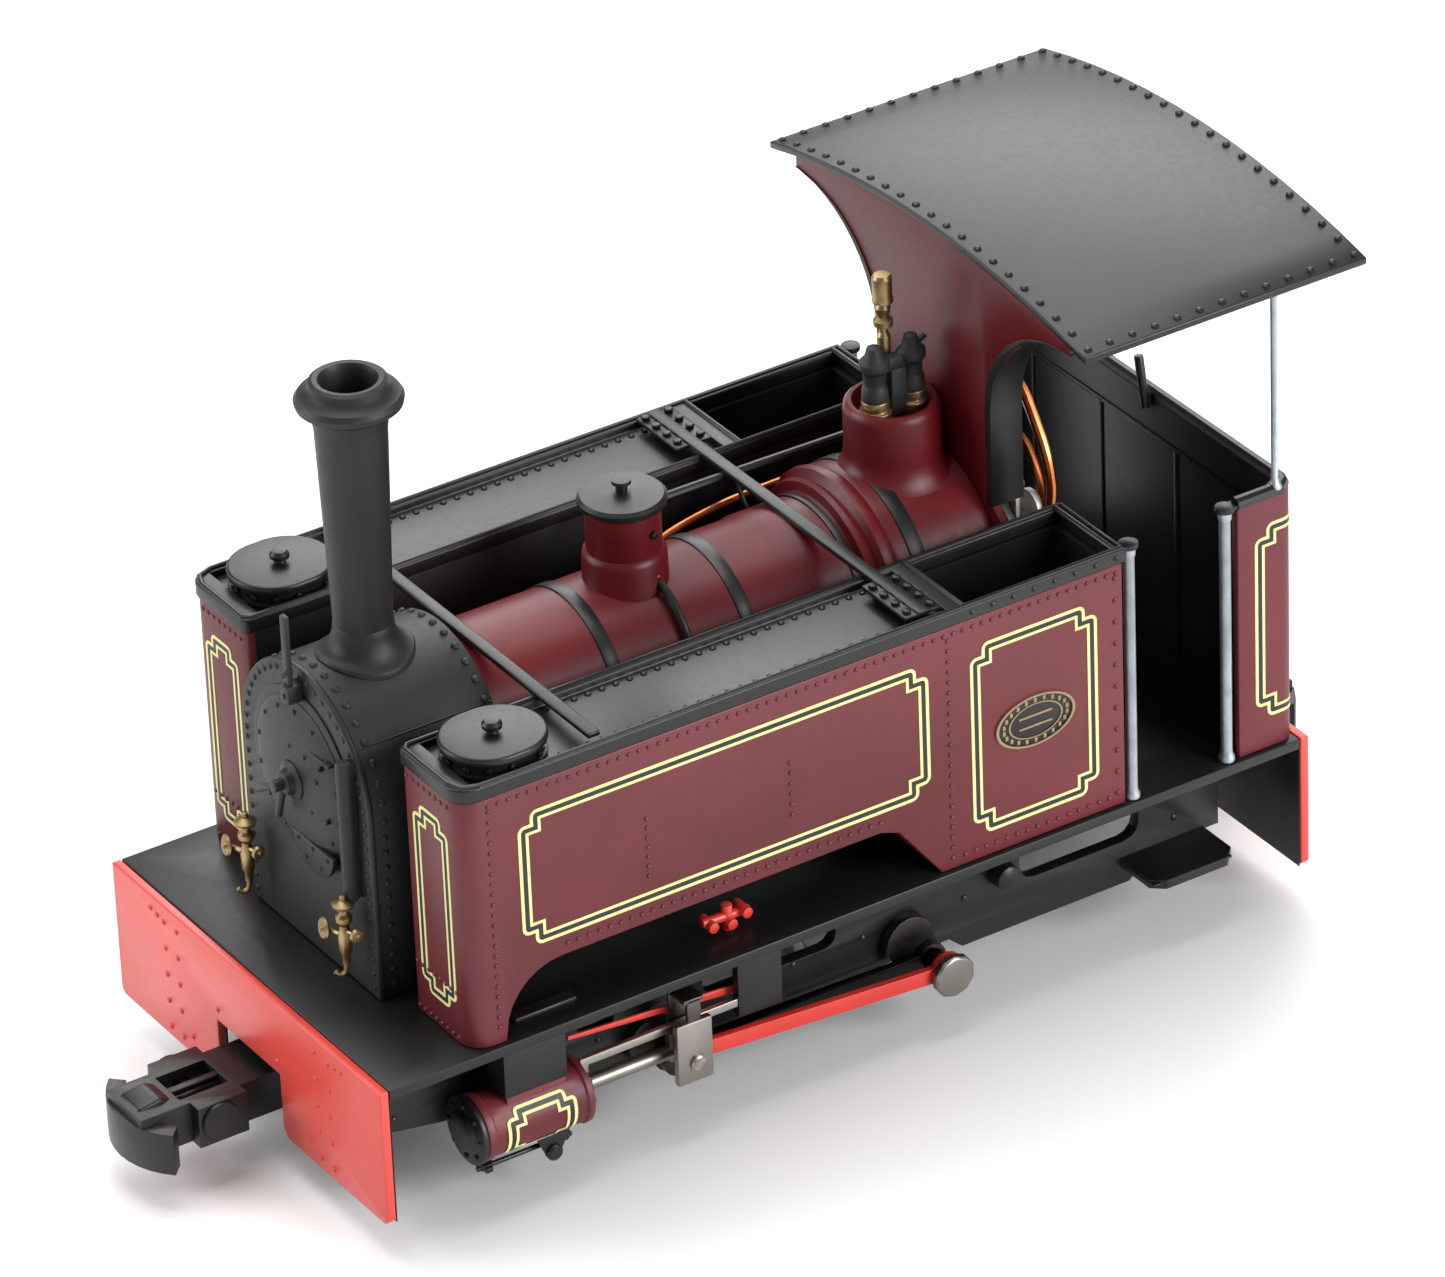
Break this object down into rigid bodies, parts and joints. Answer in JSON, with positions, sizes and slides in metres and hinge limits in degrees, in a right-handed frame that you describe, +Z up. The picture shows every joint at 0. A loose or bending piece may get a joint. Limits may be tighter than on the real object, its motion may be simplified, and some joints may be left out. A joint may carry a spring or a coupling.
{
  "type": "model steam locomotive",
  "caption": "Narrow-gauge side-tank steam locomotive model with outside frames, open-sided cab, turning wheels, working side rods, sliding crossheads and swinging couplers.",
  "frame": {"origin": "centre of the footprint at the lowest point of the wheel flanges", "axes": "+Z up; the locomotive faces -Y, its left side is +X"},
  "size_m": [0.028, 0.0708, 0.0411],
  "materials": {
    "maroon_satin_paint": "satin maroon paint with fine lining",
    "black_satin_plastic": "satin black",
    "matt_smokebox_black": "matt black",
    "red_satin_paint": "satin red paint",
    "turned_brass": "turned brass",
    "bright_steel": "bright machined steel",
    "nickel_silver_wire": "drawn bright wire",
    "diecast_zinc": "blackened zinc casting",
    "acetal_white": "moulded acetal"
  },
  "bodies": {
    "locomotive": {"running_plate": "black_satin_plastic", "frame_left": "black_satin_plastic", "frame_right": "black_satin_plastic", "keeper_plate": "black_satin_plastic", "safety_valves": "black_satin_plastic", "tank_top_left": "black_satin_plastic", "tank_top_right": "black_satin_plastic", "filler_lid_left": "black_satin_plastic", "filler_lid_right": "black_satin_plastic", "stay_front": "black_satin_plastic", "stay_rear": "black_satin_plastic", "cab_roof": "black_satin_plastic", "backhead": "black_satin_plastic", "smokebox": "matt_smokebox_black", "smokebox_door": "matt_smokebox_black", "chimney": "matt_smokebox_black", "front_beam": "red_satin_paint", "rear_beam": "red_satin_paint", "chassis_block": "diecast_zinc", "ballast": "diecast_zinc", "whistle": "turned_brass", "cylinder_left": "maroon_satin_paint", "cylinder_right": "maroon_satin_paint", "boiler": "maroon_satin_paint", "sand_dome": "maroon_satin_paint", "steam_dome": "maroon_satin_paint", "tank_left": "maroon_satin_paint", "tank_right": "maroon_satin_paint", "cab_front": "maroon_satin_paint", "cab_rear": "maroon_satin_paint", "motor": "bright_steel", "slide_bar_left": "bright_steel", "slide_bar_right": "bright_steel", "coupler_screw_front": "bright_steel", "coupler_screw_rear": "bright_steel", "roof_pillar_left": "nickel_silver_wire", "roof_pillar_right": "nickel_silver_wire", "handrail_front_left": "nickel_silver_wire", "handrail_front_right": "nickel_silver_wire", "handrail_rear_left": "nickel_silver_wire", "handrail_rear_right": "nickel_silver_wire"},
    "rear_wheelset": {"axle_rear": "bright_steel", "wheel_rear_left": "bright_steel", "wheel_rear_right": "bright_steel", "axle_gear": "acetal_white"},
    "front_wheelset": {"axle_front": "bright_steel", "wheel_front_left": "bright_steel", "wheel_front_right": "bright_steel"},
    "coupling_rod_left": {"coupling_rod_left": "bright_steel"},
    "coupling_rod_right": {"coupling_rod_right": "bright_steel"},
    "connecting_rod_left": {"connecting_rod_left": "red_satin_paint"},
    "connecting_rod_right": {"connecting_rod_right": "red_satin_paint"},
    "crosshead_left": {"crosshead_left": "bright_steel"},
    "crosshead_right": {"crosshead_right": "bright_steel"},
    "worm": {"worm": "turned_brass"},
    "coupler_front": {"coupler_front": "black_satin_plastic"},
    "coupler_rear": {"coupler_rear": "black_satin_plastic"},
    "coupler_hook_front": {"coupler_hook_front": "bright_steel"},
    "coupler_hook_rear": {"coupler_hook_rear": "bright_steel"}
  },
  "joints": [
    {"name": "rear_axle_spin", "type": "hinge", "parent": "locomotive", "child": "rear_wheelset", "pos_m": [0, 0.00477, 0.0048], "axis": [1, 0, 0], "continuous": true},
    {"name": "front_axle_spin", "type": "hinge", "parent": "locomotive", "child": "front_wheelset", "pos_m": [0, -0.01063, 0.0048], "axis": [1, 0, 0], "continuous": true},
    {"name": "coupling_rod_left_pin", "type": "hinge", "parent": "rear_wheelset", "child": "coupling_rod_left", "pos_m": [0.0108, 0.00576, 0.00367], "axis": [1, 0, 0], "continuous": true},
    {"name": "connecting_rod_left_pin", "type": "hinge", "parent": "rear_wheelset", "child": "connecting_rod_left", "pos_m": [0.0123, 0.00576, 0.00367], "axis": [1, 0, 0], "continuous": true},
    {"name": "coupling_rod_right_pin", "type": "hinge", "parent": "rear_wheelset", "child": "coupling_rod_right", "pos_m": [-0.0108, 0.00591, 0.00578], "axis": [1, 0, 0], "continuous": true},
    {"name": "connecting_rod_right_pin", "type": "hinge", "parent": "rear_wheelset", "child": "connecting_rod_right", "pos_m": [-0.0123, 0.00591, 0.00578], "axis": [1, 0, 0], "continuous": true},
    {"name": "worm_spin", "type": "hinge", "parent": "locomotive", "child": "worm", "pos_m": [0, 0.00477, 0.0096], "axis": [0, 1, 0], "continuous": true},
    {"name": "crosshead_left_slide", "type": "slide", "parent": "locomotive", "child": "crosshead_left", "axis": [0, 1, 0], "range_m": [-0.00248, 0.00052]},
    {"name": "crosshead_right_slide", "type": "slide", "parent": "locomotive", "child": "crosshead_right", "axis": [0, 1, 0], "range_m": [-0.00263, 0.00037]},
    {"name": "coupler_front_swing", "type": "hinge", "parent": "locomotive", "child": "coupler_front", "pos_m": [0, -0.02382, 0.0038], "axis": [0, 0, 1], "range_deg": [-10, 10]},
    {"name": "coupler_hook_front_lift", "type": "hinge", "parent": "coupler_front", "child": "coupler_hook_front", "pos_m": [0, -0.03103, 0.0039], "axis": [-1, 0, 0], "range_deg": [0, 25]},
    {"name": "coupler_rear_swing", "type": "hinge", "parent": "locomotive", "child": "coupler_rear", "pos_m": [0, 0.02382, 0.0038], "axis": [0, 0, 1], "range_deg": [-10, 10]},
    {"name": "coupler_hook_rear_lift", "type": "hinge", "parent": "coupler_rear", "child": "coupler_hook_rear", "pos_m": [0, 0.03103, 0.0039], "axis": [1, 0, 0], "range_deg": [0, 25]}
  ],
  "couplings": [
    {"joint": "front_axle_spin", "follows": "rear_axle_spin", "ratio": 1},
    {"joint": "coupling_rod_left_pin", "follows": "rear_axle_spin", "ratio": -1},
    {"joint": "connecting_rod_left_pin", "follows": "rear_axle_spin", "ratio": -1},
    {"joint": "coupling_rod_right_pin", "follows": "rear_axle_spin", "ratio": -1},
    {"joint": "connecting_rod_right_pin", "follows": "rear_axle_spin", "ratio": -1},
    {"joint": "worm_spin", "follows": "rear_axle_spin", "ratio": 20}
  ]
}
